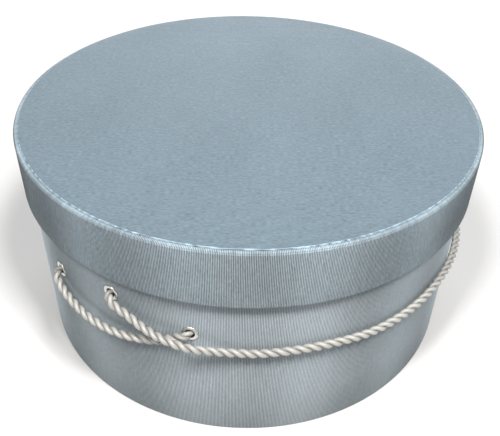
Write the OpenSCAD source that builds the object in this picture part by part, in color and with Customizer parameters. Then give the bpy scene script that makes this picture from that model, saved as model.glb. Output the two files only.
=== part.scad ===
// Round hat box with a lift-off lid, a carry cord and two short side loops.
// The origin is the centre of the base, on the floor; +Z is up and -Y is the front.
// The carry cord leaves the box on the X axis and hangs round the front.

/* [Box] */
// Outside diameter of the body, over its covering
body_d = 349.5; // [300:0.5:400]
// Overall height, from the floor to the top of the lid
box_h = 181; // [150:1:260]
// Thickness of the greyboard in the walls and the lid
board_t = 2.5; // [1.5:0.1:3]
// Thickness of the greyboard in the base
base_t = 3; // [2:0.1:4]

/* [Lid] */
// Outside diameter of the lid, over its covering
lid_d = 360; // [308:0.5:412]
// Depth of the lid's band
lid_band_h = 46.5; // [30:0.5:60]
// Width of the rim left around the raised top panel
lid_rim_w = 3; // [2:0.5:6]

/* [Covering] */
// Thickness of the covering fabric
fabric_t = 0.4; // [0.3:0.1:0.6]
// Thickness of the paper lining
lining_t = 0.3; // [0.2:0.05:0.4]
// Width of the fabric turned over each edge
turn_in_w = 12; // [8:1:16]
// Thickness of the card inside the raised top panel
top_card_t = 0.6; // [0.4:0.1:1]

/* [Eyelets] */
// Bore of an eyelet
eyelet_bore_d = 7; // [6.8:0.1:7.4]
// Wall thickness of an eyelet's barrel
eyelet_wall_t = 0.7; // [0.5:0.1:0.9]
// Diameter of an eyelet's flange
eyelet_flange_d = 12; // [11:0.5:13]
// Diameter of the backing washer
washer_d = 13; // [12:0.5:14]
// Height of the middle eyelets above the floor
middle_eyelet_z = 116; // [112:1:118]
// Height of the outer eyelets above the floor
outer_eyelet_z = 101; // [99:1:103]
// Angle between a middle eyelet and the outer ones beside it
outer_eyelet_angle = 19.3; // [19:0.1:20]

/* [Cord] */
// Diameter of the cord
cord_d = 6; // [5:0.2:6.2]
// Diameter of a stopper knot
knot_d = 17; // [15:0.5:19]
// Length of a stopper knot along the cord
knot_l = 14; // [12:0.5:16]
// Length of cord left below a knot
tail_l = 9; // [7:1:12]

/* [Hidden] */
$fn = 96;
body_r = body_d / 2;
lid_r = lid_d / 2;
wall_outer_r = body_r - fabric_t;
wall_inner_r = wall_outer_r - board_t;
cavity_r = wall_inner_r - lining_t;
glue_gap = 0.05;

// Heights of the base: cover, turned hem, board and lining, from the floor up
hem_z = fabric_t;
base_z = 2 * fabric_t;
floor_z = base_z + base_t;
base_cover_r = body_r - 3;

// Heights of the lid, from the top down
top_cover_z = box_h - fabric_t;
rim_z = top_cover_z - top_card_t;
disc_top_z = rim_z - fabric_t;
disc_z = disc_top_z - board_t;
lid_ceiling_z = disc_z - lining_t;
lid_edge_z = box_h - lid_band_h;
band_outer_r = lid_r - fabric_t;
band_inner_r = band_outer_r - board_t;
lid_cavity_r = band_inner_r - lining_t;
top_panel_r = lid_r - lid_rim_w;

// The lid rests on the body's rim with this much room in the drawing
rest_gap = 0.1;
body_top_z = lid_ceiling_z - rest_gap;
wall_top_z = body_top_z - fabric_t;
inner_hem_z = body_top_z - turn_in_w;

// Eyelet: flat flange outside, barrel through the wall, rolled lip inside
bore_r = eyelet_bore_d / 2;
barrel_r = bore_r + eyelet_wall_t;
wall_hole_r = barrel_r + 0.05;
flange_t = 0.9;
flange_r = eyelet_flange_d / 2;
washer_t = 0.5;
washer_x = cavity_r - 0.15;
lip_x = washer_x - washer_t;
lip_t = 0.6;
lip_r = barrel_r + 1.1;
knot_x = lip_x - lip_t;
carry_knot_gap = 0.3;

// Azimuths are counted from the front, positive towards +X
LEFT = -90;
RIGHT = 90;

// Route of the carry cord from the left eyelet to the middle of the front. Each point is
// [degrees round from the eyelet, stand-off of the centre from the body, height].
// The cord drops from the eyelet, bridges over the side loop's front end, then
// lies against the wall.
CARRY_HALF = [
    [0, 0.8, 116],
    [0.3, 3.8, 115.2],
    [1, 5, 112.8],
    [2.4, 5, 110],
    [5, 5, 107],
    [8, 5.8, 103],
    [10.5, 7.2, 101.5],
    [13, 9.2, 101.2],
    [15.5, 10.8, 101],
    [18, 11.3, 99.8],
    [20.5, 11.1, 98.4],
    [23, 8.8, 96],
    [26, 6, 93],
    [30, 4.2, 91],
    [35, 3.8, 90.2],
    [42, 3.8, 91],
    [49, 3.8, 91],
    [56, 3.8, 89.6],
    [62, 3.8, 88.4],
    [69, 3.8, 88.4],
    [76, 3.8, 88.8],
    [83, 3.8, 89.8],
    [90, 3.8, 90.5]
];

// Route of the left side loop, from its rear eyelet to its front eyelet
LOOP_ROUTE = [
    [-19.3, 0.8, 101],
    [-19.2, 3.8, 100.3],
    [-18.6, 5.4, 98.2],
    [-17.2, 6.4, 96],
    [-15, 7.2, 93.8],
    [-12, 7.8, 91.4],
    [-8.5, 8, 88.8],
    [-5, 7.8, 86.6],
    [-1, 7, 85.5],
    [3, 6, 85.6],
    [6.5, 5, 86.6],
    [9.5, 4.2, 88.2],
    [12, 3.8, 90.6],
    [14.2, 3.8, 94.2],
    [16, 4.2, 97.8],
    [17.5, 4.6, 100.4],
    [18.8, 3.8, 101.2],
    [19.3, 0.8, 101]
];
CORD_SIDES = 10;
knot_start = body_r - knot_x;

// A point given by azimuth, distance from the box's axis and height
function at(azimuth, r, z) = [r * sin(azimuth), -r * cos(azimuth), z];

// The other half of a route, mirrored in the plane X = 0
function mirrored(points) = [for (i = [len(points) - 1:-1:0]) [-points[i][0], points[i][1], points[i][2]]];

function unit(v) = v / norm(v);

// Direction of the route at one of its points
function heading(points, i) = i == 0 ? unit(points[1] - points[0])
    : i == len(points) - 1 ? unit(points[i] - points[i - 1])
    : unit(unit(points[i] - points[i - 1]) + unit(points[i + 1] - points[i]));

// A sideways direction carried along the route without twisting
function carried(points, i) = i == 0 ? unit(cross(heading(points, 0), [0, 0, 1]))
    : let (t = heading(points, i), s = carried(points, i - 1)) unit(s - t * (s * t));

function ring(points, i, r) = let (t = heading(points, i), s = carried(points, i), u = cross(t, s))
    [for (k = [0:CORD_SIDES - 1]) points[i] + r * (s * cos(360 * k / CORD_SIDES) + u * sin(360 * k / CORD_SIDES))];

// A closed tube along a route
module swept_cord(points, r) {
    last = len(points) - 1;
    vertices = [for (i = [0:last]) each ring(points, i, r)];
    sides = [for (i = [0:last - 1], k = [0:CORD_SIDES - 1])
        let (a = i * CORD_SIDES + k, b = i * CORD_SIDES + (k + 1) % CORD_SIDES)
        [b, a, a + CORD_SIDES, b + CORD_SIDES]];
    start_cap = [for (k = [0:CORD_SIDES - 1]) k];
    end_cap = [for (k = [CORD_SIDES - 1:-1:0]) last * CORD_SIDES + k];
    polyhedron(points = vertices, faces = concat([start_cap], sides, [end_cap]), convexity = 6);
}

// A flat ring or disc between two radii
module ring_plate(z, t, r, hole_r = 0) {
    translate([0, 0, z])
        difference() {
            cylinder(h = t, r = r);
            if (hole_r > 0) translate([0, 0, -1]) cylinder(h = t + 2, r = hole_r);
        }
}

// Turns +Z outwards along an azimuth, at a height on the box's axis
module facing(azimuth, z) {
    translate([0, 0, z]) rotate([0, 0, azimuth]) rotate([90, 0, 0]) children();
}

// Places an eyelet's parts at each of a side's three eyelets: -1 rear, 0 middle, 1 front
function eyelet_azimuth(side, place) = side + (side < 0 ? 1 : -1) * place * outer_eyelet_angle;
function eyelet_height(place) = place == 0 ? middle_eyelet_z : outer_eyelet_z;

module eyelet_holes() {
    for (side = [LEFT, RIGHT], place = [-1, 0, 1])
        facing(eyelet_azimuth(side, place), eyelet_height(place))
            translate([0, 0, cavity_r - 5]) cylinder(h = 12, r = wall_hole_r);
}

module eyelet(side, place) {
    bevel = 0.35;
    top = body_r + flange_t;
    color("silver")
        facing(eyelet_azimuth(side, place), eyelet_height(place))
            rotate_extrude()
                polygon([[bore_r, knot_x + bevel], [bore_r + bevel, knot_x], [lip_r, knot_x],
                    [lip_r, lip_x], [barrel_r, lip_x], [barrel_r, body_r],
                    [flange_r, body_r], [flange_r, body_r + 0.3], [flange_r - bevel, top - 0.15],
                    [flange_r - 2 * bevel, top], [bore_r + 2 * bevel, top],
                    [bore_r + bevel, top - 0.15], [bore_r, top - 0.5]]);
}

module washer(side, place) {
    color("silver")
        facing(eyelet_azimuth(side, place), eyelet_height(place))
            rotate_extrude()
                polygon([[wall_hole_r, lip_x], [washer_d / 2, lip_x],
                    [washer_d / 2, washer_x], [wall_hole_r, washer_x]]);
}

// A stopper knot with a short tail hanging from it
module knot(side, place, gap) {
    round_r = 5;
    r = knot_d / 2;
    front = knot_x - gap;
    back = front - knot_l;
    color("ivory")
        facing(eyelet_azimuth(side, place), eyelet_height(place)) {
            rotate_extrude()
                polygon(concat([[0, back], [0, front]],
                    [for (a = [90:-15:0]) [r - round_r + round_r * cos(a), front - round_r + round_r * sin(a)]],
                    [for (a = [0:-15:-90]) [r - round_r + round_r * cos(a), back + round_r + round_r * sin(a)]]));
            translate([0, 0, back + knot_l / 2]) rotate([90, 0, 0]) cylinder(h = r + tail_l, r = cord_d / 2);
        }
}

module base_disc() {
    color("tan") ring_plate(base_z, base_t, wall_inner_r - glue_gap);
}

module base_cover() {
    color("slategray") {
        ring_plate(0, fabric_t, base_cover_r);
        ring_plate(fabric_t, fabric_t, body_r - turn_in_w - glue_gap);
    }
}

module base_lining() {
    color("whitesmoke") ring_plate(floor_z, lining_t, cavity_r - glue_gap);
}

module body_wall() {
    color("tan")
        difference() {
            ring_plate(base_z, wall_top_z - base_z, wall_outer_r, wall_inner_r);
            eyelet_holes();
        }
}

// The fabric runs from a hem under the base, up the wall, over the rim and down inside
module body_cover() {
    color("lightsteelblue")
        difference() {
            rotate_extrude()
                polygon([[body_r - turn_in_w, hem_z], [body_r, hem_z], [body_r, body_top_z],
                    [cavity_r, body_top_z], [cavity_r, inner_hem_z], [wall_inner_r, inner_hem_z],
                    [wall_inner_r, wall_top_z], [wall_outer_r, wall_top_z],
                    [wall_outer_r, base_z], [body_r - turn_in_w, base_z]]);
            eyelet_holes();
        }
}

module body_lining() {
    color("whitesmoke")
        difference() {
            ring_plate(floor_z, inner_hem_z - floor_z, wall_inner_r, cavity_r);
            eyelet_holes();
        }
}

// The cord starts at the face of its knot, inside the wall
function cord_route(half) = concat([[half[0][0], -knot_start, half[0][2]]], half,
    [[half[len(half) - 1][0], -knot_start, half[len(half) - 1][2]]]);

module side_loop(side) {
    turn = side < 0 ? 1 : -1;
    route = [for (p = cord_route(LOOP_ROUTE)) at(side + turn * p[0], body_r + p[1], p[2])];
    color("ivory") swept_cord(route, cord_d / 2);
}

module carry_cord() {
    left = [for (p = CARRY_HALF) [LEFT + p[0], p[1], p[2]]];
    whole = concat(left, [for (i = [1:len(left) - 1]) mirrored(left)[i]]);
    inside = -knot_start - carry_knot_gap;
    ends = concat([[LEFT, inside, middle_eyelet_z]], whole, [[RIGHT, inside, middle_eyelet_z]]);
    color("ivory") swept_cord([for (p = ends) at(p[0], body_r + p[1], p[2])], cord_d / 2);
}

module lid_disc() {
    color("tan") ring_plate(disc_z, board_t, band_inner_r - glue_gap);
}

module lid_band() {
    color("tan")
        ring_plate(lid_edge_z + fabric_t, disc_top_z - lid_edge_z - fabric_t, band_outer_r, band_inner_r);
}

// The band's fabric wraps the lower edge and is turned in over the top of the lid
module lid_band_cover() {
    corner_r = 0.8;
    color("lightsteelblue")
        rotate_extrude()
            polygon(concat([[lid_cavity_r, lid_edge_z], [lid_r, lid_edge_z]],
                [for (a = [0:15:90]) [lid_r - corner_r + corner_r * cos(a), rim_z - corner_r + corner_r * sin(a)]],
                [[lid_r - turn_in_w, rim_z], [lid_r - turn_in_w, disc_top_z], [band_outer_r, disc_top_z],
                    [band_outer_r, lid_edge_z + fabric_t], [lid_cavity_r, lid_edge_z + fabric_t]]));
}

module lid_top_card() {
    inner_r = lid_r - turn_in_w - glue_gap;
    outer_r = top_panel_r - fabric_t;
    color("tan")
        rotate_extrude()
            polygon([[0, disc_top_z], [inner_r, disc_top_z], [inner_r, rim_z],
                [outer_r, rim_z], [outer_r, top_cover_z], [0, top_cover_z]]);
}

module lid_top_cover() {
    color("lightsteelblue")
        rotate_extrude()
            polygon([[0, top_cover_z], [top_panel_r - fabric_t, top_cover_z], [top_panel_r - fabric_t, rim_z],
                [top_panel_r, rim_z], [top_panel_r, top_cover_z], [top_panel_r - fabric_t, box_h], [0, box_h]]);
}

module lid_band_lining() {
    color("whitesmoke")
        ring_plate(lid_edge_z + fabric_t, disc_z - lid_edge_z - fabric_t, band_inner_r, lid_cavity_r);
}

module lid_disc_lining() {
    color("whitesmoke") ring_plate(lid_ceiling_z, lining_t, lid_cavity_r - glue_gap);
}

base_disc();
base_cover();
base_lining();
body_wall();
body_cover();
body_lining();
eyelet(LEFT, -1);  // eyelet_left_rear
eyelet(LEFT, 0);  // eyelet_left_middle
eyelet(LEFT, 1);  // eyelet_left_front
eyelet(RIGHT, -1);  // eyelet_right_rear
eyelet(RIGHT, 0);  // eyelet_right_middle
eyelet(RIGHT, 1);  // eyelet_right_front
washer(LEFT, -1);  // washer_left_rear
washer(LEFT, 0);  // washer_left_middle
washer(LEFT, 1);  // washer_left_front
washer(RIGHT, -1);  // washer_right_rear
washer(RIGHT, 0);  // washer_right_middle
washer(RIGHT, 1);  // washer_right_front
side_loop(LEFT);  // side_loop_left
side_loop(RIGHT);  // side_loop_right
knot(LEFT, -1, 0);  // loop_knot_left_rear
knot(LEFT, 1, 0);  // loop_knot_left_front
knot(RIGHT, -1, 0);  // loop_knot_right_rear
knot(RIGHT, 1, 0);  // loop_knot_right_front
carry_cord();
knot(LEFT, 0, carry_knot_gap);  // carry_knot_left
knot(RIGHT, 0, carry_knot_gap);  // carry_knot_right
lid_disc();
lid_band();
lid_band_cover();
lid_top_card();
lid_top_cover();
lid_band_lining();
lid_disc_lining();
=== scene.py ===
import math

import bmesh
import bpy
from mathutils import Matrix, Vector, noise


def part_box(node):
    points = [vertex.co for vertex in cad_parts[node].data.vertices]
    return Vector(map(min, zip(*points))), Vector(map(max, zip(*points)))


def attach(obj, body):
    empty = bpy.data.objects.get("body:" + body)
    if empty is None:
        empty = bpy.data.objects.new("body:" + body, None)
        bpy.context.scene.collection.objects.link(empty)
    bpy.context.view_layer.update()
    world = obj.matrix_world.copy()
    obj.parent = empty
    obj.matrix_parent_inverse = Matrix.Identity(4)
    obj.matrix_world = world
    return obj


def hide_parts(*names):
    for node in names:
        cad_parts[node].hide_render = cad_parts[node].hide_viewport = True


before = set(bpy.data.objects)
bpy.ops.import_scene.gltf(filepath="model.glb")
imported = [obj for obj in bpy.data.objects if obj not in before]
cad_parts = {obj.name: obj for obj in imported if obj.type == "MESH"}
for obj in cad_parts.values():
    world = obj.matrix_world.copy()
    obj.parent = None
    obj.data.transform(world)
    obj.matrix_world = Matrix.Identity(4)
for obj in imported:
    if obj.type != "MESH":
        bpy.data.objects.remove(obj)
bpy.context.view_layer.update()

# Round fabric-covered hat box: lift-off lid, carry cord round the front, a short cord loop at each side.
# Lengths are in metres. Azimuths are in degrees from the front, positive towards +X.


def radiusOf(node):
    low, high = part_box(node)
    return (high.x - low.x) / 2


bodyRadius = radiusOf("body_cover")
lidRadius = radiusOf("lid_band_cover")
topRadius = radiusOf("lid_top_cover")
cavityRadius = radiusOf("base_lining")
lidCavityRadius = radiusOf("lid_disc_lining")
lipRadius = -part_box("eyelet_left_middle")[1].x       # where the eyelets end inside the box
print("frame loaded:", len(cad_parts), "nodes")


def onWall(azimuth, radius, height):
    a = math.radians(azimuth)
    return Vector((radius * math.sin(a), -radius * math.cos(a), height))


def makeObject(name, bm, material):
    mesh = bpy.data.meshes.new(name)
    bm.to_mesh(mesh)
    bm.free()
    mesh.shade_smooth()
    mesh.materials.append(material)
    piece = bpy.data.objects.new(name, mesh)
    bpy.context.scene.collection.objects.link(piece)
    return piece


viewpoint = {
    "azimuth": -59.0,
    "elevation": 38.43,
    "roll": 1.4,
    "distance": 0.6024,
    "aimSide": 0.0026,      # where the view's centre passes the box's axis
    "aimHeight": 0.0641,
    "lens": 48.24,          # in mm, on a 36 mm sensor
}


def makeCamera(v):
    azimuth, elevation, roll = (math.radians(v[k]) for k in ("azimuth", "elevation", "roll"))
    side = Vector((math.cos(azimuth), math.sin(azimuth), 0))
    back = onWall(v["azimuth"], math.cos(elevation), math.sin(elevation))
    up = back.cross(side)
    right = side * math.cos(roll) + up * math.sin(roll)
    top = up * math.cos(roll) - side * math.sin(roll)
    place = side * v["aimSide"] + Vector((0, 0, v["aimHeight"])) + back * v["distance"]
    data = bpy.data.cameras.new("camera")
    data.sensor_width = 36
    data.lens = v["lens"]
    data.clip_start = 0.01
    camera = bpy.data.objects.new("camera", data)
    camera.matrix_world = Matrix.Translation(place) @ Matrix((right, top, back)).transposed().to_4x4()
    bpy.context.scene.collection.objects.link(camera)
    bpy.context.scene.camera = camera


makeCamera(viewpoint)
print("camera placed")


def addNode(tree, kind, **values):
    # A value goes to the input of that name, or else to the node's own property
    node = tree.nodes.new(kind)
    for key, value in values.items():
        if isinstance(value, bpy.types.NodeSocket):
            tree.links.new(value, node.inputs[key])
        elif key in node.inputs.keys():
            node.inputs[key].default_value = value
        else:
            setattr(node, key, value)
    return node


def calc(tree, operation, *terms):
    node = tree.nodes.new("ShaderNodeMath")
    node.operation = operation
    for socket, term in zip(node.inputs, terms):
        if isinstance(term, bpy.types.NodeSocket):
            tree.links.new(term, socket)
        else:
            socket.default_value = term
    return node.outputs[0]


def scaled(tree, vector, factor):
    node = addNode(tree, "ShaderNodeVectorMath", operation="SCALE")
    tree.links.new(vector, node.inputs[0])
    tree.links.new(factor, node.inputs["Scale"])
    return node.outputs[0]


def newGroup(name, inputs, outputs):
    group = bpy.data.node_groups.new(name, "ShaderNodeTree")
    for label, (kind, value) in inputs.items():
        socket = group.interface.new_socket(name=label, in_out="INPUT", socket_type="NodeSocket" + kind)
        if value is not None:
            socket.default_value = value
    for label, kind in outputs.items():
        group.interface.new_socket(name=label, in_out="OUTPUT", socket_type="NodeSocket" + kind)
    return group, group.nodes.new("NodeGroupInput"), group.nodes.new("NodeGroupOutput")


weave = {
    "ribJump": 0.83,                # how unlike its neighbours each rib's shade is
    "ribDrift": 70.0,               # changes per metre along one rib
    "wideStreaks": (150.0, 9.0),    # changes per metre across and along the ribs
    "grain": (900.0, 320.0),
    "bandWander": (8.0, 3.0),
    "clouds": 14.0,
    "ribContrast": 2.4,
    "wideContrast": 0.9,
    "darkest": 0.1,
    "dashStart": 0.2,               # rib shades above this are made pale along a fold, as wear and a painted highlight
    "dashContrast": 1.7,
    "crestHeight": 0.4,
    "weftHeight": 0.3,
    "grainHeight": 0.6,
    "roughnessChange": 0.2,
}


def makeRibGroup(w):
    # Colour, height and roughness of a ribbed cloth; its vector runs across and along the ribs
    inputs = {
        "Vector": ("Vector", None),
        "Base": ("Color", (0.25, 0.29, 0.32, 1)),
        "Rib Pitch": ("Float", 0.001),
        "Weft Pitch": ("Float", 0.0005),
        "Groove": ("Float", 0.3),       # how dark the furrows are painted: painted shade between the ribs
        "Streaks": ("Float", 0.3),      # how much ribs differ from each other
        "Mottle": ("Float", 0.1),
        "Grain": ("Float", 0.1),
        "Roughness": ("Float", 0.4),
        "Bands": ("Float", 0.0),        # soft upright bands, as light plays on the satin
        "Band Width": ("Float", 0.08),
        "Band Shift": ("Float", 0.0),
        "Fold": ("Float", 0.0),         # 1 along folded edges, where the crests are made pale by wear and a painted highlight
        "Fold Wear And Highlight": ("Float", 0.5),
    }
    outputs = {"Color": "Color", "Height": "Float", "Roughness": "Float"}
    group, given, result = newGroup("ribbedCloth", inputs, outputs)
    split = addNode(group, "ShaderNodeSeparateXYZ", Vector=given.outputs["Vector"])
    u, v = split.outputs[0], split.outputs[1]
    phase = calc(group, "DIVIDE", u, given.outputs["Rib Pitch"])
    turn = calc(group, "MULTIPLY", phase, 2 * math.pi)
    crest = calc(group, "COSINE", turn)
    ribNumber = calc(group, "ROUND", phase)

    def noiseOver(across, acrossScale, alongScale, detail):
        spot = addNode(group, "ShaderNodeCombineXYZ", X=calc(group, "MULTIPLY", across, acrossScale),
                       Y=calc(group, "MULTIPLY", v, alongScale))
        node = addNode(group, "ShaderNodeTexNoise", Scale=1.0, Detail=detail, Vector=spot.outputs[0])
        return node.outputs[0]

    def centred(value, amount):
        return calc(group, "MULTIPLY", calc(group, "SUBTRACT", value, 0.5), amount)

    # Every rib has its own shade, which drifts along it
    rib = noiseOver(ribNumber, w["ribJump"], w["ribDrift"], 1.5)
    wide = noiseOver(u, *w["wideStreaks"], 2.0)
    grain = noiseOver(u, *w["grain"], 1.0)
    slow = noiseOver(u, *w["bandWander"], 2.0)
    cloud = addNode(group, "ShaderNodeTexNoise", Scale=w["clouds"], Detail=3.0,
                    Vector=given.outputs["Vector"])
    weft = calc(group, "SINE", calc(group, "MULTIPLY", calc(group, "DIVIDE", v, given.outputs["Weft Pitch"]),
                                    2 * math.pi))
    streak = calc(group, "ADD", centred(rib, w["ribContrast"]), centred(wide, w["wideContrast"]))
    # Painted shade: the furrows between the ribs are darkened, by Groove
    shade = calc(group, "ADD", 1.0, calc(group, "MULTIPLY", crest, given.outputs["Groove"]))
    shade = calc(group, "ADD", shade, calc(group, "MULTIPLY", streak, given.outputs["Streaks"]))
    shade = calc(group, "ADD", shade, centred(cloud.outputs[0], given.outputs["Mottle"]))
    shade = calc(group, "ADD", shade, centred(grain, given.outputs["Grain"]))
    # Painted sheen: soft upright bands of lighter and darker colour, standing in for light on the satin
    place = calc(group, "ADD", u, given.outputs["Band Shift"])
    place = calc(group, "DIVIDE", place, given.outputs["Band Width"])
    band = calc(group, "COSINE", calc(group, "MULTIPLY", place, 2 * math.pi))
    band = calc(group, "MULTIPLY", calc(group, "MULTIPLY", band, slow), given.outputs["Bands"])
    shade = calc(group, "ADD", shade, band)
    # Along folds, the paler ribs are lightened further in dashes: wear and a painted highlight
    dashes = calc(group, "MULTIPLY", calc(group, "SUBTRACT", rib, w["dashStart"]), w["dashContrast"])
    foldWearAndHighlight = calc(group, "MULTIPLY", given.outputs["Fold"], given.outputs["Fold Wear And Highlight"])
    foldWearAndHighlight = calc(group, "MULTIPLY", foldWearAndHighlight, dashes)
    shade = calc(group, "ADD", calc(group, "MAXIMUM", shade, w["darkest"]), foldWearAndHighlight)
    height = calc(group, "ADD", calc(group, "MULTIPLY", crest, w["crestHeight"]),
                  calc(group, "MULTIPLY", weft, w["weftHeight"]))
    height = calc(group, "ADD", height, calc(group, "MULTIPLY", grain, w["grainHeight"]))
    rough = calc(group, "ADD", given.outputs["Roughness"], centred(wide, w["roughnessChange"]))
    group.links.new(scaled(group, given.outputs["Base"], shade), result.inputs["Color"])
    group.links.new(height, result.inputs["Height"])
    group.links.new(rough, result.inputs["Roughness"])
    return group


def makeFleckGroup():
    # Soft changes of colour and height for paper, board, fibre and metal
    inputs = {"Vector": ("Vector", None), "Base": ("Color", (0.8, 0.8, 0.8, 1)), "Size": ("Float", 0.002),
              "Amount": ("Float", 0.1)}
    group, given, result = newGroup("softFlecks", inputs, {"Color": "Color", "Height": "Float"})
    fleck = addNode(group, "ShaderNodeTexNoise", Detail=4.0, Roughness=0.65, Vector=given.outputs["Vector"],
                    Scale=calc(group, "DIVIDE", 1.0, given.outputs["Size"]))
    cloud = addNode(group, "ShaderNodeTexNoise", Scale=14.0, Detail=2.0, Vector=given.outputs["Vector"])
    both = calc(group, "ADD", calc(group, "MULTIPLY", fleck.outputs[0], 0.7),
                calc(group, "MULTIPLY", cloud.outputs[0], 0.3))
    change = calc(group, "MULTIPLY", calc(group, "SUBTRACT", both, 0.5), given.outputs["Amount"])
    shade = calc(group, "ADD", 1.0, calc(group, "MULTIPLY", change, 2.0))
    group.links.new(scaled(group, given.outputs["Base"], shade), result.inputs["Color"])
    group.links.new(both, result.inputs["Height"])
    return group


ribGroup = makeRibGroup(weave)
fleckGroup = makeFleckGroup()


def newMaterial(name, **sockets):
    material = bpy.data.materials.new(name)
    material.use_nodes = True
    tree = material.node_tree
    shader = tree.nodes["Principled BSDF"]
    for label, value in sockets.items():
        shader.inputs[label].default_value = value
    return material, tree, shader


def placeGroup(tree, shader, group, vector, values, bump, distance):
    node = addNode(tree, "ShaderNodeGroup", node_tree=group)
    tree.links.new(vector, node.inputs["Vector"])
    for label, value in values.items():
        node.inputs[label].default_value = value
    tree.links.new(node.outputs["Color"], shader.inputs["Base Color"])
    if "Roughness" in node.outputs.keys():
        tree.links.new(node.outputs["Roughness"], shader.inputs["Roughness"])
    relief = addNode(tree, "ShaderNodeBump", Strength=bump, Distance=distance, Height=node.outputs["Height"])
    tree.links.new(relief.outputs[0], shader.inputs["Normal"])
    return node


wallCloth = {
    "Base": (0.190, 0.221, 0.239, 1),
    "Rib Pitch": 0.00104,
    "Weft Pitch": 0.0005,
    "Groove": 0.75,
    "Streaks": 0.16,
    "Mottle": 0.08,
    "Grain": 0.45,
    "Roughness": 0.52,
    "Bands": 0.26,
    "Band Width": 0.0793,
    "Band Shift": 0.2136,
    "Fold Wear And Highlight": 1.3,
}
# The band's base is darker than the wall's: painted shade on the same cloth
bandCloth = dict(wallCloth, **{
    "Base": (0.118, 0.147, 0.164, 1),
    "Groove": 0.95,
    "Streaks": 0.26,
    "Grain": 1.0,
    "Bands": 0.42,
    "Band Width": 0.0817,
    "Band Shift": 0.2200,
})
# The top's base is darker still: painted shade that makes up for the stronger light falling on the top
topCloth = dict(wallCloth, **{
    "Base": (0.085, 0.117, 0.139, 1),
    "Groove": 0.45,
    "Streaks": 0.2,
    "Grain": 1.0,
    "Mottle": 0.12,
    "Bands": 0.0,
    "Fold Wear And Highlight": 3.0,
})


clothShader = {
    "Specular IOR Level": 0.6,
    "Anisotropic": 1.0,
    "Anisotropic Rotation": 0.25,
}
clothBump = 0.5
weaveDepth = 0.00008


def clothMaterial(name, values):
    material, tree, shader = newMaterial(name, **clothShader)
    uv = addNode(tree, "ShaderNodeUVMap", uv_map="cloth")
    tangent = addNode(tree, "ShaderNodeTangent", direction_type="UV_MAP", uv_map="cloth")
    tree.links.new(tangent.outputs[0], shader.inputs["Tangent"])
    fold = addNode(tree, "ShaderNodeAttribute", attribute_name="fold")
    node = placeGroup(tree, shader, ribGroup, uv.outputs[0], values, clothBump, weaveDepth)
    tree.links.new(fold.outputs["Fac"], node.inputs["Fold"])
    return material


cordFinish = {
    "Base": (0.285, 0.282, 0.262, 1),
    "Size": 0.0005,
    "Amount": 0.12,
}
valleyShade = (0.19, 0.18, 0.163, 1)      # painted shade deep between the strands
cordShader = {
    "Specular IOR Level": 0.6,
    "Roughness": 0.42,
}
cordBump = 0.4
fleckDepth = 0.0002


def cordMaterial(values):
    material, tree, shader = newMaterial("cordFibre", **cordShader)
    place = addNode(tree, "ShaderNodeTexCoord")
    node = placeGroup(tree, shader, fleckGroup, place.outputs["Object"], values, cordBump, fleckDepth)
    # Painted shade: the cord's colour is darkened towards valleyShade between the strands
    valley = addNode(tree, "ShaderNodeAttribute", attribute_name="valley")
    mixed = addNode(tree, "ShaderNodeMix", data_type="RGBA")
    tree.links.new(valley.outputs["Fac"], mixed.inputs["Factor"])
    tree.links.new(node.outputs["Color"], mixed.inputs[6])
    mixed.inputs[7].default_value = valleyShade
    tree.links.new(mixed.outputs[2], shader.inputs["Base Color"])
    return material


def fleckMaterial(name, base, size, amount, bump, roughness, metallic):
    material, tree, shader = newMaterial(name, Roughness=roughness, Metallic=metallic)
    place = addNode(tree, "ShaderNodeTexCoord")
    values = {"Base": base, "Size": size, "Amount": amount}
    placeGroup(tree, shader, fleckGroup, place.outputs["Object"], values, bump, fleckDepth)
    return material


ribbedFabric = clothMaterial("ribbedFabric", wallCloth)
bandFabric = clothMaterial("bandFabric", bandCloth)
topFabric = clothMaterial("topFabric", topCloth)
cordFibre = cordMaterial(cordFinish)
plainFinishes = {
    # colour, fleck size in metres, fleck strength, bump, roughness, metallic
    "greyboard": ((0.30, 0.285, 0.255, 1), 0.0012, 0.22, 0.4, 0.9, 0.0),
    "liningPaper": ((0.66, 0.65, 0.62, 1), 0.0008, 0.05, 0.25, 0.75, 0.0),
    "basePaper": ((0.215, 0.24, 0.27, 1), 0.0009, 0.10, 0.3, 0.7, 0.0),
    "satinNickel": ((0.66, 0.65, 0.62, 1), 0.0007, 0.06, 0.12, 0.33, 1.0),
}
greyboard, liningPaper, basePaper, satinNickel = (fleckMaterial(k, *v) for k, v in plainFinishes.items())
print("materials made")


cordData = {
    "diameter": 0.0062,      # over the strands' crests
    "strands": 2,
    "lay": 0.0148,           # one full turn of a strand
    "strandRadius": 0.00170,
    "yarns": 9,              # ridges round a strand
    "yarnDepth": 0.08,       # share of the strand's radius
    "yarnLay": 0.010,        # the yarns turn against the strands
    "step": 0.0009,          # between rings
    "ringPoints": 27,
    "valleyTop": 0.95,       # shares of the radius where the shading between strands begins
    "valleyFloor": 0.45,     # and where it is full
    "pinch": 0.82,           # the cord is pulled thinner through its eyelets
    "pinchLength": 0.009,
}

# The carry cord's left half: degrees round from its eyelet, stand-off from the wall, height
carryHalf = [
    (0, 0.0008, 0.116), (0.3, 0.0038, 0.1152), (1, 0.005, 0.1128), (2.4, 0.005, 0.11), (5, 0.005, 0.107),
    (8, 0.0058, 0.103), (10.5, 0.0072, 0.1015), (13, 0.0092, 0.1012), (15.5, 0.0108, 0.101),
    (18, 0.0113, 0.0998), (20.5, 0.0111, 0.0984), (23, 0.0088, 0.096), (26, 0.006, 0.093),
    (30, 0.0042, 0.091), (35, 0.0038, 0.0902), (42, 0.0038, 0.091), (49, 0.0038, 0.091),
    (56, 0.0038, 0.0896), (62, 0.0038, 0.0884), (69, 0.0038, 0.0884), (76, 0.0038, 0.0888),
    (83, 0.0038, 0.0898), (90, 0.0038, 0.0905),
]
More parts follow.
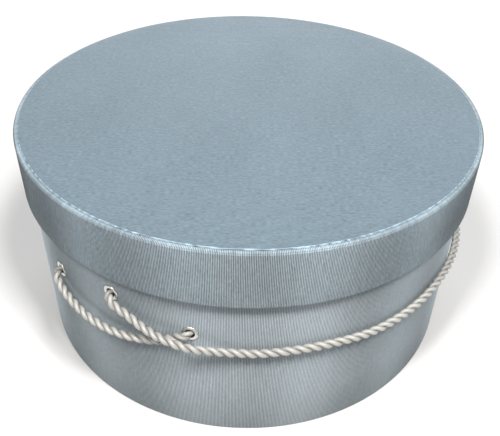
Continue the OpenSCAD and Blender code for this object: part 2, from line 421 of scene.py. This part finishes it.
# A side loop, from its rear eyelet to its front one
loopRoute = [
    (-19.3, 0.0008, 0.101), (-19.2, 0.0038, 0.1003), (-18.6, 0.0054, 0.0982), (-17.2, 0.0064, 0.096),
    (-15, 0.0072, 0.0938), (-12, 0.0078, 0.0914), (-8.5, 0.008, 0.0888), (-5, 0.0078, 0.0866),
    (-1, 0.007, 0.0855), (3, 0.006, 0.0856), (6.5, 0.005, 0.0866), (9.5, 0.0042, 0.0882),
    (12, 0.0038, 0.0906), (14.2, 0.0038, 0.0942), (16, 0.0042, 0.0978), (17.5, 0.0046, 0.1004),
    (18.8, 0.0038, 0.1012), (19.3, 0.0008, 0.101),
]
sides = {"left": -1, "right": 1}
places = {"rear": -1, "middle": 0, "front": 1}
knotGap = 0.0003                                     # behind the carry cord's eyelets


def routePoints(route, side, innerRadius):
    # Both ends go straight in through their eyelets
    first, last = route[0], route[-1]
    inner = innerRadius - bodyRadius
    whole = [(first[0], inner, first[2])] + route + [(last[0], inner, last[2])]
    return [onWall(side * 90 - side * angle, bodyRadius + out, height) for angle, out, height in whole]


def carryPoints():
    left = routePoints(carryHalf, -1, lipRadius - knotGap)[:-1]
    return left + [Vector((-p.x, p.y, p.z)) for p in reversed(left[:-1])]


def smoothPath(points, step):
    # A Catmull-Rom curve through the points, cut again at even steps
    padded = [points[0] * 2 - points[1]] + points + [points[-1] * 2 - points[-2]]
    fine = []
    for i in range(1, len(padded) - 2):
        p0, p1, p2, p3 = padded[i - 1:i + 3]
        for k in range(16):
            t = k / 16
            fine.append(0.5 * ((2 * p1) + (p2 - p0) * t + (2 * p0 - 5 * p1 + 4 * p2 - p3) * t * t
                               + (3 * p1 - p0 - 3 * p2 + p3) * t * t * t))
    fine.append(points[-1])
    run = [0.0]
    for a, b in zip(fine, fine[1:]):
        run.append(run[-1] + (b - a).length)
    count = max(8, round(run[-1] / step))
    even, j = [], 0
    for i in range(count + 1):
        want = run[-1] * i / count
        while j < len(fine) - 2 and run[j + 1] < want:
            j += 1
        part = (want - run[j]) / max(run[j + 1] - run[j], 1e-9)
        even.append(fine[j].lerp(fine[j + 1], min(part, 1)))
    return even


def yarnSection(c):
    # The outline of one strand: a circle with a ridge for each yarn
    data = bpy.data.curves.new("yarnSection", "CURVE")
    data.dimensions = "2D"
    spline = data.splines.new("POLY")
    spline.points.add(c["ringPoints"] - 1)
    spline.use_cyclic_u = True
    for i, point in enumerate(spline.points):
        a = 2 * math.pi * i / c["ringPoints"]
        r = c["strandRadius"] * (1 + c["yarnDepth"] * math.cos(c["yarns"] * a))
        point.co = (r * math.cos(a), r * math.sin(a), 0, 1)
    return bpy.data.objects.new("yarnSection", data)


def crossFrames(path):
    # Two sideways directions at each point, carried along without twisting
    last = len(path) - 1
    tangents = [(path[min(i + 1, last)] - path[max(i - 1, 0)]).normalized() for i in range(len(path))]
    across = tangents[0].orthogonal().normalized()
    frames = []
    for t in tangents:
        across = (across - t * across.dot(t)).normalized()
        frames.append((across.copy(), t.cross(across)))
    return frames


def pinchAt(i, count, step, c):
    # How thick the cord is at one of its rings
    fromEnd = min(i, count - 1 - i) * step
    return c["pinch"] + (1 - c["pinch"]) * min(1.0, fromEnd / c["pinchLength"]) ** 2


def markValleys(bm, path, c):
    # How deep each point lies between the strands, for the painted shade there
    layer = bm.verts.layers.float.new("valley")
    for i, vert in enumerate(bm.verts):
        ring = i // c["ringPoints"] % len(path)
        along = path[min(ring + 1, len(path) - 1)] - path[max(ring - 1, 0)]
        offset = vert.co - path[ring]
        out = (offset - along * offset.dot(along) / along.length_squared).length / (c["diameter"] / 2)
        vert[layer] = min(1.0, max(0.0, (c["valleyTop"] - out) / (c["valleyTop"] - c["valleyFloor"])))


def twistedCord(name, path, c):
    # Strands are bevelled curves wound round the path, turned into one mesh
    step = (path[1] - path[0]).length
    section = yarnSection(c)
    curve = bpy.data.curves.new(name, "CURVE")
    curve.dimensions = "3D"
    curve.bevel_mode = "OBJECT"
    curve.bevel_object = section
    curve.use_fill_caps = True
    offset = c["diameter"] / 2 - c["strandRadius"]
    frames = crossFrames(path)
    for strand in range(c["strands"]):
        spline = curve.splines.new("POLY")
        spline.points.add(len(path) - 1)
        for i, (p, (n, b)) in enumerate(zip(path, frames)):
            a = 2 * math.pi * (i * step / c["lay"] + strand / c["strands"])
            thickness = pinchAt(i, len(path), step, c)
            spline.points[i].co = (*(p + (n * math.cos(a) + b * math.sin(a)) * offset * thickness), 1)
            spline.points[i].radius = thickness
            spline.points[i].tilt = 2 * math.pi * i * step / c["yarnLay"]
    holder = bpy.data.objects.new(name + "Line", curve)
    bpy.context.scene.collection.objects.link(holder)
    mesh = bpy.data.meshes.new_from_object(holder.evaluated_get(bpy.context.evaluated_depsgraph_get()))
    bm = bmesh.new()
    bm.from_mesh(mesh)
    bpy.data.meshes.remove(mesh)
    bpy.data.objects.remove(holder)
    bpy.data.objects.remove(section)
    markValleys(bm, path, c)
    bmesh.ops.remove_doubles(bm, verts=bm.verts, dist=1e-6)
    bmesh.ops.recalc_face_normals(bm, faces=bm.faces)
    return makeObject(name, bm, cordFibre)


def eyeletSpot(side, place):
    # Azimuth and height of one eyelet
    height = sum(corner.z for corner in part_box("eyelet_" + side + "_" + place)) / 2
    return sides[side] * 90 - sides[side] * places[place] * loopRoute[-1][0], height


knotData = {
    "wrapRadius": 0.0048,
    "firstWrap": 0.0036,     # depth behind the eyelet's lip
    "lastWrap": 0.0098,
    "wraps": 9,              # points along the wrap
    "wrapStart": 70,         # degrees
    "wrapTurn": 400,
    "tail": 0.0150,
    "thinner": 0.86,         # the knot is pulled tight
}


def makeKnot(name, side, place, startRadius, k):
    # An overhand knot: in along the eyelet's axis, round itself and out below
    azimuth, height = eyeletSpot(side, place)
    inward = -onWall(azimuth, 1, 0)
    along = Vector((0, 0, 1)).cross(inward)
    start = onWall(azimuth, startRadius, height)

    def at(depth, across, up):
        return start + inward * depth + along * across + Vector((0, 0, up))

    points = [at(0, 0, 0), at(0.003, 0, 0), at(0.007, 0, 0.0006), at(0.0112, 0.0008, 0.0026)]
    for i in range(k["wraps"]):
        part = i / (k["wraps"] - 1)
        a = math.radians(k["wrapStart"] - k["wrapTurn"] * part)
        depth = k["lastWrap"] + (k["firstWrap"] - k["lastWrap"]) * part
        points.append(at(depth, k["wrapRadius"] * math.cos(a), k["wrapRadius"] * math.sin(a)))
    points += [at(0.0062, 0.0030, -0.0065), at(0.0075, 0.0016, -0.0095), at(0.0080, 0.0012, -k["tail"])]
    tight = dict(cordData, diameter=cordData["diameter"] * k["thinner"], pinch=1.0,
                 strandRadius=cordData["strandRadius"] * k["thinner"])
    return twistedCord(name, smoothPath(points, cordData["step"]), tight)


def finishPiece(piece, body, slot, *nodes):
    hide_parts(*nodes)
    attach(piece, body)
    return piece


def makeCord(name, node, body, path):
    piece = finishPiece(twistedCord(name, path, cordData), body, "cord_fibre", node)


def makeCords():
    for side in sides:
        for place in ("rear", "front"):
            knot = makeKnot("loopKnot." + side + "." + place, side, place, lipRadius, knotData)
            finishPiece(knot, "box", "cord_fibre", "loop_knot_" + side + "_" + place)
        path = smoothPath(routePoints(loopRoute, sides[side], lipRadius), cordData["step"])
        makeCord("sideLoop." + side, "side_loop_" + side, "box", path)
        knot = makeKnot("carryKnot." + side, side, "middle", lipRadius - knotGap, knotData)
        finishPiece(knot, "carry_handle", "cord_fibre", "carry_knot_" + side)
    path = smoothPath(carryPoints(), cordData["step"])
    makeCord("carryCord", "carry_cord", "carry_handle", path)


makeCords()


eyeletData = {
    "bore": 0.0035,
    "barrel": 0.0042,
    "flange": 0.0060,
    "crown": 0.00095,        # height of the rolled rim over the wall
    "rimEdge": 0.00025,
    "lip": 0.0053,
    "lipThickness": 0.0006,
    "washer": 0.0065,
    "washerThickness": 0.0005,
    "segments": 56,
}


def spinProfile(outline, segments):
    # A closed outline of (radius, height) turned round the Z axis
    bm = bmesh.new()
    verts = [bm.verts.new((r, 0, z)) for r, z in outline]
    edges = [bm.edges.new((verts[i - 1], verts[i])) for i in range(len(verts))]
    bmesh.ops.spin(bm, geom=verts + edges, cent=(0, 0, 0), axis=(0, 0, 1), angle=2 * math.pi,
                   steps=segments, use_merge=True)
    bmesh.ops.remove_doubles(bm, verts=bm.verts, dist=1e-7)
    bmesh.ops.recalc_face_normals(bm, faces=bm.faces)
    return bm


def arc(centre, radius, start, end, count, squash=1.0):
    angles = [math.radians(start + (end - start) * i / count) for i in range(count + 1)]
    return [(centre[0] + radius * math.cos(a), centre[1] + radius * squash * math.sin(a)) for a in angles]


def eyeletOutline(e):
    half = (e["flange"] - e["bore"]) / 2
    squash = (e["crown"] - e["rimEdge"]) / half
    crown = arc((e["bore"] + half, bodyRadius + e["rimEdge"]), half, 0, 180, 14, squash)
    inside = [(e["bore"], bodyRadius - 0.0005), (e["bore"], lipRadius + e["lipThickness"])]
    lipHalf = (e["lip"] - e["bore"]) / 2
    lip = arc((e["bore"] + lipHalf, lipRadius + e["lipThickness"] / 2), lipHalf, 180, 360, 10,
              e["lipThickness"] / 2 / lipHalf)
    back = [(e["lip"], lipRadius + e["lipThickness"]), (e["barrel"], lipRadius + e["lipThickness"]),
            (e["barrel"], bodyRadius), (e["flange"] - 0.0001, bodyRadius)]
    return crown + inside + lip + back


def washerOutline(e):
    low = lipRadius + e["lipThickness"]
    half = e["washerThickness"] / 2
    hole = e["barrel"] + 0.00005
    rim = arc((e["washer"] - half, low + half), half, -90, 90, 6)
    return [(hole, low)] + rim + [(hole, low + 2 * half)]


def makeEyelets(e):
    for side in sides:
        for place in places:
            azimuth, height = eyeletSpot(side, place)
            outwards = (Matrix.Translation((0, 0, height)) @ Matrix.Rotation(math.radians(azimuth), 4, "Z")
                        @ Matrix.Rotation(math.radians(90), 4, "X"))
            for kind, outline in (("eyelet", eyeletOutline(e)), ("washer", washerOutline(e))):
                bm = spinProfile(outline, e["segments"])
                bmesh.ops.transform(bm, matrix=outwards, verts=bm.verts)
                piece = makeObject(kind + "." + side + "." + place, bm, satinNickel)
                finishPiece(piece, "box", "satin_nickel", kind + "_" + side + "_" + place)


makeEyelets(eyeletData)
print("eyelets and washers turned")


clothData = {
    "bodyRibs": 1056,
    "bandRibs": 1088,
    "sectors": 32,            # one is spun, then doubled until they close
    "columns": 4,             # mesh columns to a rib
    "ribHeight": 0.00020,
    "thickness": 0.0004,
    "seamAzimuth": 147.0,     # where the strip's end overlaps its start
    "seamWidth": 0.011,
    "seamLift": 0.00035,
    "cornerLift": 0.0012,     # the overlap's loose corner at a folded edge
    "cornerLength": 0.006,
    "turnIn": 0.012,
    "eyeletHole": 0.0048,     # radius, hidden by the flange
    "liningGap": 0.00005,
    "waver": 0.08,            # how far ribs stray from straight, in rib pitches
    "waverScale": (3, 25),    # waves per radian round, and per metre up
}
ribVariety = {
    "mean": 0.85,             # share of ribHeight that a rib has on average
    "change": 0.5,
    "jump": 0.71,             # how unlike its neighbours each rib's height is
}


def ribLift(ribs, seed, height):
    # Height of the cloth above its mean, at a place counted in ribs
    wave = math.cos(2 * math.pi * ribs)
    shift = noise.noise(Vector((round(ribs) * ribVariety["jump"], seed, 0)))
    strength = ribVariety["mean"] + ribVariety["change"] * shift
    return 0.5 * height * wave * strength


def seamLift(azimuth, radius, fold, c):
    # The overlap: a clear step on one side, fading on the other, its corner lifting at a folded edge
    along = math.radians((c["seamAzimuth"] - azimuth + 180) % 360 - 180) * radius
    if along < 0 or along > c["seamWidth"] * 2:
        return 0.0
    corner = c["cornerLift"] * fold * max(0.0, 1 - along / c["cornerLength"])
    return c["seamLift"] * min(1.0, 2 - along / c["seamWidth"]) + corner


def azimuthOf(point):
    return math.atan2(point.x, -point.y)


def spinCloth(outline, ribs, c):
    # One sector is spun, and copies of it close the ring
    sector = 2 * math.pi / c["sectors"]
    bm = bmesh.new()
    liftLayer = bm.verts.layers.float.new("lift")
    runLayer = bm.verts.layers.float.new("run")
    foldLayer = bm.verts.layers.float.new("fold")
    verts, run = [], 0.0
    for r, z, lift, fold in outline:
        vert = bm.verts.new((r, 0, z))
        vert[foldLayer] = fold
        run += (vert.co - verts[-1].co).length if verts else 0
        vert[liftLayer] = lift
        vert[runLayer] = run
        verts.append(vert)
    edges = [bm.edges.new((verts[i - 1], verts[i])) for i in range(len(verts))]
    bmesh.ops.spin(bm, geom=verts + edges, cent=(0, 0, 0), axis=(0, 0, 1), angle=sector,
                   steps=ribs // c["sectors"] * c["columns"])
    done = 1
    while done < c["sectors"]:
        copy = bmesh.ops.duplicate(bm, geom=bm.verts[:] + bm.edges[:] + bm.faces[:])["geom"]
        moved = [g for g in copy if isinstance(g, bmesh.types.BMVert)]
        bmesh.ops.rotate(bm, cent=(0, 0, 0), matrix=Matrix.Rotation(sector * done, 3, "Z"), verts=moved)
        done *= 2
    bmesh.ops.remove_doubles(bm, verts=bm.verts, dist=1e-5)
    bmesh.ops.recalc_face_normals(bm, faces=bm.faces)
    bm.normal_update()
    return bm


def raiseRibs(bm, radius, count, c, seed):
    liftLayer = bm.verts.layers.float["lift"]
    foldLayer = bm.verts.layers.float["fold"]
    roundScale, upScale = c["waverScale"]
    shifts = []
    for vert in bm.verts:
        if vert[liftLayer] > 0:
            angle = azimuthOf(vert.co)
            bend = c["waver"] * noise.noise(Vector((angle * roundScale, vert.co.z * upScale, seed)))
            ribs = angle / (2 * math.pi) * count + bend
            lift = ribLift(ribs, seed, c["ribHeight"])
            lift += seamLift(math.degrees(angle), radius, vert[foldLayer], c)
            shifts.append((vert, vert.normal * lift * vert[liftLayer]))
    for vert, shift in shifts:
        vert.co += shift


def layClothMap(bm, ribs):
    # Across the ribs in rib pitches, and along them
    runLayer = bm.verts.layers.float["run"]
    uv = bm.loops.layers.uv.new("cloth")
    total = max(vert[runLayer] for vert in bm.verts)
    spread = ribs * wallCloth["Rib Pitch"] / (2 * math.pi)
    for face in bm.faces:
        middle = azimuthOf(face.calc_center_median())
        runs = [loop.vert[runLayer] for loop in face.loops]
        wraps = max(runs) - min(runs) > total / 2
        for loop, run in zip(face.loops, runs):
            turn = (azimuthOf(loop.vert.co) - middle + math.pi) % (2 * math.pi) - math.pi
            across = (middle + turn) * spread
            loop[uv].uv = (across, run + total if wraps and run < total / 2 else run)


def cutEyeletHole(bm, azimuth, height, radius):
    # Level cuts across the cloth near the eyelet; the flange hides the stepped edge of the hole
    outwards = onWall(azimuth, 1, 0)
    along = Vector((0, 0, 1)).cross(outwards)
    reach = radius * 1.3
    near = []
    for face in bm.faces:
        centre = face.calc_center_median()
        if abs(centre.dot(along)) < reach and centre.dot(outwards) > 0:
            heights = [vert.co.z for vert in face.verts]
            if min(heights) < height + reach and max(heights) > height - reach:
                near.append(face)
    geom = list({g for face in near for g in (*face.verts, *face.edges)}) + near
    cuts = 8
    for i in range(-cuts, cuts + 1):
        level = height + reach * i / cuts
        cut = bmesh.ops.bisect_plane(bm, geom=geom, dist=1e-6, plane_co=(0, 0, level), plane_no=(0, 0, 1))
        geom = cut["geom"]
    hole = []
    for face in (g for g in geom if isinstance(g, bmesh.types.BMFace)):
        centre = face.calc_center_median()
        if math.hypot(centre.dot(along), centre.z - height) < radius:
            hole.append(face)
    bmesh.ops.delete(bm, geom=hole, context="FACES")
    bmesh.ops.bridge_loops(bm, edges=[edge for edge in bm.edges if edge.is_boundary])


def rows(start, end, count):
    # Even steps from one outline point to another, leaving out the first
    return [tuple(start[k] + (end[k] - start[k]) * i / count for k in range(4)) for i in range(1, count + 1)]


def lifted(points, lift=1.0, fold=0.0):
    # Each outline point also says how much of the ribs shows there, and how folded it is; the fold lifts the
    # seam's corner and pales the crests, as wear and a painted highlight
    return [(r, z, lift, fold) for r, z in points]


def bodyOutline(c):
    # Hem under the base, up the wall, over the rim and down inside, then back through the thickness
    low, high = (corner.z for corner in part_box("body_cover"))
    t = c["thickness"]
    inner = cavityRadius + c["liningGap"]
    rim, foot = 0.0009, 0.0008
    face = [(bodyRadius - c["turnIn"], low, 0.0, 0.0)]
    face += lifted(arc((bodyRadius - foot, low + foot), foot, -90, -45, 1), 0.3, 0.4)
    face += [(bodyRadius, low + foot, 1.0, 0.0)]
    face += rows(face[-1], (bodyRadius, high - rim, 1.0, 0.0), 4)
    face += lifted(arc((bodyRadius - rim, high - rim), rim, 0, 90, 3)[1:], 1.0, 0.5)
    face += lifted(arc((inner + rim, high - rim), rim, 90, 180, 2), 1.0, 0.5)
    face += [(inner, high - c["turnIn"], 0.6, 0.0)]
    deep = inner + t * 0.75
    back = [(deep, high - c["turnIn"]), (deep, high - t), (bodyRadius - t, high - t),
            (bodyRadius - t, low + t), (bodyRadius - c["turnIn"], low + t * 0.9)]
    return face + lifted(back, 0.0)


def bandOutline(c):
    # From the inside of the lower edge, up the band and in over the top, then back
    low, high = (corner.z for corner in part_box("lid_band_cover"))
    t = c["thickness"]
    inner = lidCavityRadius + c["liningGap"]
    corner, edge = 0.0017, 0.0009
    face = [(inner, low + t, 0.0, 0.0)]
    face += lifted(arc((inner + edge, low + edge), edge, 200, 270, 2))
    face += lifted(arc((lidRadius - edge, low + edge), edge, -80, 0, 3), 1.0, 0.15)
    face += rows(face[-1][:3] + (0.0,), (lidRadius, high - corner, 1.0, 0.0), 3)
    face += lifted(arc((lidRadius - corner, high - corner), corner, 0, 90, 5)[1:], 1.0, 0.5)
    face += [(topRadius - 0.0005, high, 0.7, 0.1), (lidRadius - c["turnIn"], high - 0.0001, 0.0, 0.0)]
    back = [(lidRadius - c["turnIn"], high - t), (lidRadius - t, high - t), (lidRadius - t, low + t)]
    return face + lifted(back, 0.0)


def finishCover(piece, body, node, flat, rests, **more):
    finishPiece(piece, body, "ribbed_fabric", node)
    print(piece.name, len(piece.data.polygons), "faces")


def makeBodyCover(c):
    bm = spinCloth(bodyOutline(c), c["bodyRibs"], c)
    raiseRibs(bm, bodyRadius, c["bodyRibs"], c, 3.0)
    for side in sides:
        for place in places:
            azimuth, height = eyeletSpot(side, place)
            cutEyeletHole(bm, azimuth, height, c["eyeletHole"])
    layClothMap(bm, c["bodyRibs"])
    low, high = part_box("body_cover")
    flat = (2 * math.pi * bodyRadius + c["seamWidth"], high.z - low.z + 2 * c["turnIn"])
    finishCover(makeObject("bodyCover", bm, ribbedFabric), "box", "body_cover", flat, "body_wall")


def makeBandCover(c):
    bm = spinCloth(bandOutline(c), c["bandRibs"], c)
    raiseRibs(bm, lidRadius, c["bandRibs"], c, 8.0)
    layClothMap(bm, c["bandRibs"])
    low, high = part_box("lid_band_cover")
    flat = (2 * math.pi * lidRadius + c["seamWidth"], high.z - low.z + 1.3 * c["turnIn"])
    finishCover(makeObject("bandCover", bm, bandFabric), "lid", "lid_band_cover", flat, "lid_band")


topData = {
    "ribs": 338,
    "rowsPerRib": 4,
    "columns": 24,
    "turn": -59.0,           # the ribs run square to this azimuth
    "ribHeight": 0.00010,
    "edgeRound": 0.0008,
    "dash": 0.0035,          # length of the pale places along the edge
    "wearAndHighlight": 0.7,             # how pale the edge is on average, by wear and a painted highlight
    "wearAndHighlightChange": 1.5,
    "waver": 0.1,            # as in clothData, but in waves per metre
    "waverScale": (22, 12),
}


def edgeWearAndHighlight(point, t):
    # Pale dashes, a few millimetres long, along the panel's edge: wear and a painted highlight
    along = azimuthOf(point) * topRadius
    change = noise.noise(Vector((along / t["dash"], 5.0, 0)))
    return min(1.0, max(0.0, t["wearAndHighlight"] + t["wearAndHighlightChange"] * change))


def makeTopCover(t):
    low, high = (corner.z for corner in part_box("lid_top_cover"))
    flatRadius = topRadius - t["edgeRound"]
    pitch = 2 * flatRadius / t["ribs"]
    alongScale, acrossScale = t["waverScale"]
    bm = bmesh.new()
    bmesh.ops.create_grid(bm, x_segments=t["columns"], y_segments=t["ribs"] * t["rowsPerRib"], size=1)
    for vert in bm.verts:
        y = vert.co.y * 0.99996           # each row is drawn in to the disc's width there
        vert.co = (vert.co.x * math.sqrt(1 - y * y) * flatRadius, y * flatRadius, high)
    foldLayer = bm.verts.layers.float.new("fold")
    edges = [edge for edge in bm.edges if edge.is_boundary]
    levels = [(flatRadius + t["edgeRound"] * math.sin(a), high - t["edgeRound"] * (1 - math.cos(a)))
              for a in (math.radians(k) for k in (22.5, 45, 67.5, 90))]
    levels += [(topRadius, low + 0.0001), (topRadius, low)]
    levels += [(topRadius * 0.97, low + 0.0001), (topRadius * 0.5, low + 0.0001)]
    for radius, z in levels:
        made = bmesh.ops.extrude_edge_only(bm, edges=edges)["geom"]
        edges = [g for g in made if isinstance(g, bmesh.types.BMEdge)]
        for vert in (g for g in made if isinstance(g, bmesh.types.BMVert)):
            flat = vert.co.xy.normalized() * radius
            vert.co = (flat.x, flat.y, z)
            vert[foldLayer] = edgeWearAndHighlight(vert.co, t) if z > low else 0.0
    bmesh.ops.holes_fill(bm, edges=edges, sides=0)
    bmesh.ops.recalc_face_normals(bm, faces=bm.faces)
    bm.normal_update()
    uv = bm.loops.layers.uv.new("cloth")
    for face in bm.faces:
        for loop in face.loops:
            loop[uv].uv = (loop.vert.co.y / pitch * topCloth["Rib Pitch"], loop.vert.co.x)
    for vert in bm.verts:
        if vert.co.z > low + 0.0002:
            bend = t["waver"] * noise.noise(Vector((vert.co.x * alongScale, vert.co.y * acrossScale, 4.0)))
            vert.co += vert.normal * ribLift(vert.co.y / pitch + bend, 21.0, t["ribHeight"])
    turned = Matrix.Rotation(math.radians(t["turn"]), 3, "Z")
    bmesh.ops.rotate(bm, cent=(0, 0, 0), matrix=turned, verts=bm.verts)
    finishCover(makeObject("topCover", bm, topFabric), "lid", "lid_top_cover",
                (2 * topRadius, 2 * topRadius), "lid_top_card", area=math.pi * topRadius ** 2)


makeBodyCover(clothData)
makeBandCover(clothData)
makeTopCover(topData)


nodeFinishes = {
    greyboard: ("base_disc", "body_wall", "lid_disc", "lid_band", "lid_top_card"),
    basePaper: ("base_cover",),
    liningPaper: ("base_lining", "body_lining", "lid_band_lining", "lid_disc_lining"),
}
for material, nodes in nodeFinishes.items():
    for node in nodes:
        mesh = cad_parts[node].data
        mesh.materials.clear()
        mesh.materials.append(material)
print("boards and papers finished")


studio = {
    "world": (0.95, 0.98, 1.0, 0.32),
    "floorSize": 12.0,
    # Painted shade and light on the floor: darker near the box, so that less light bounces up onto it, and
    # paler far off
    "floorColour": (0.46, 0.455, 0.45, 1),
    "farFloor": (0.88, 0.875, 0.87, 1),
    "nearTo": 0.25,          # how far out the floor begins to pale
    "farFrom": 1.3,          # and where it is at its palest
    "aimHeight": 0.1,
    # azimuth, elevation, distance, width, height, watts, colour
    "lights": {
        "rightWindow": (-29, 61, 1.6, 0.22, 0.30, 32.0, (1.0, 0.99, 0.98)),
        "leftWindow": (-86, 60, 1.6, 0.16, 0.30, 22.5, (1.0, 0.99, 0.98)),
        "ceiling": (121, 33, 1.7, 1.3, 0.8, 14.0, (0.93, 0.97, 1.0)),
    },
}


def makeStudio(s):
    bm = bmesh.new()
    bmesh.ops.create_grid(bm, x_segments=1, y_segments=1, size=s["floorSize"] / 2)
    paint, tree, shader = newMaterial("floorPaint", Roughness=0.85)
    place = addNode(tree, "ShaderNodeTexCoord")
    away = addNode(tree, "ShaderNodeVectorMath", operation="LENGTH")
    tree.links.new(place.outputs["Object"], away.inputs[0])
    fade = addNode(tree, "ShaderNodeMapRange", **{"Value": away.outputs["Value"], "From Min": s["nearTo"],
                                                  "From Max": s["farFrom"]})
    mixed = addNode(tree, "ShaderNodeMix", data_type="RGBA")
    tree.links.new(fade.outputs[0], mixed.inputs["Factor"])
    mixed.inputs[6].default_value = s["floorColour"]
    mixed.inputs[7].default_value = s["farFloor"]
    tree.links.new(mixed.outputs[2], shader.inputs["Base Color"])
    makeObject("floor", bm, paint)
    world = bpy.data.worlds.new("studio")
    world.use_nodes = True
    background = world.node_tree.nodes["Background"]
    background.inputs["Color"].default_value = (*s["world"][:3], 1)
    background.inputs["Strength"].default_value = s["world"][3]
    bpy.context.scene.world = world
    for name, (azimuth, elevation, distance, width, height, watts, colour) in s["lights"].items():
        data = bpy.data.lights.new(name, "AREA")
        data.shape = "RECTANGLE"
        data.size = width
        data.size_y = height
        data.energy = watts
        data.color = colour
        light = bpy.data.objects.new(name, data)
        e = math.radians(elevation)
        light.location = onWall(azimuth, distance * math.cos(e), distance * math.sin(e))
        aim = Vector((0, 0, s["aimHeight"])) - light.location
        light.rotation_euler = aim.to_track_quat("-Z", "Y").to_euler()
        bpy.context.scene.collection.objects.link(light)
    bpy.context.scene.view_settings.view_transform = "Standard"


makeStudio(studio)
print("studio lit")
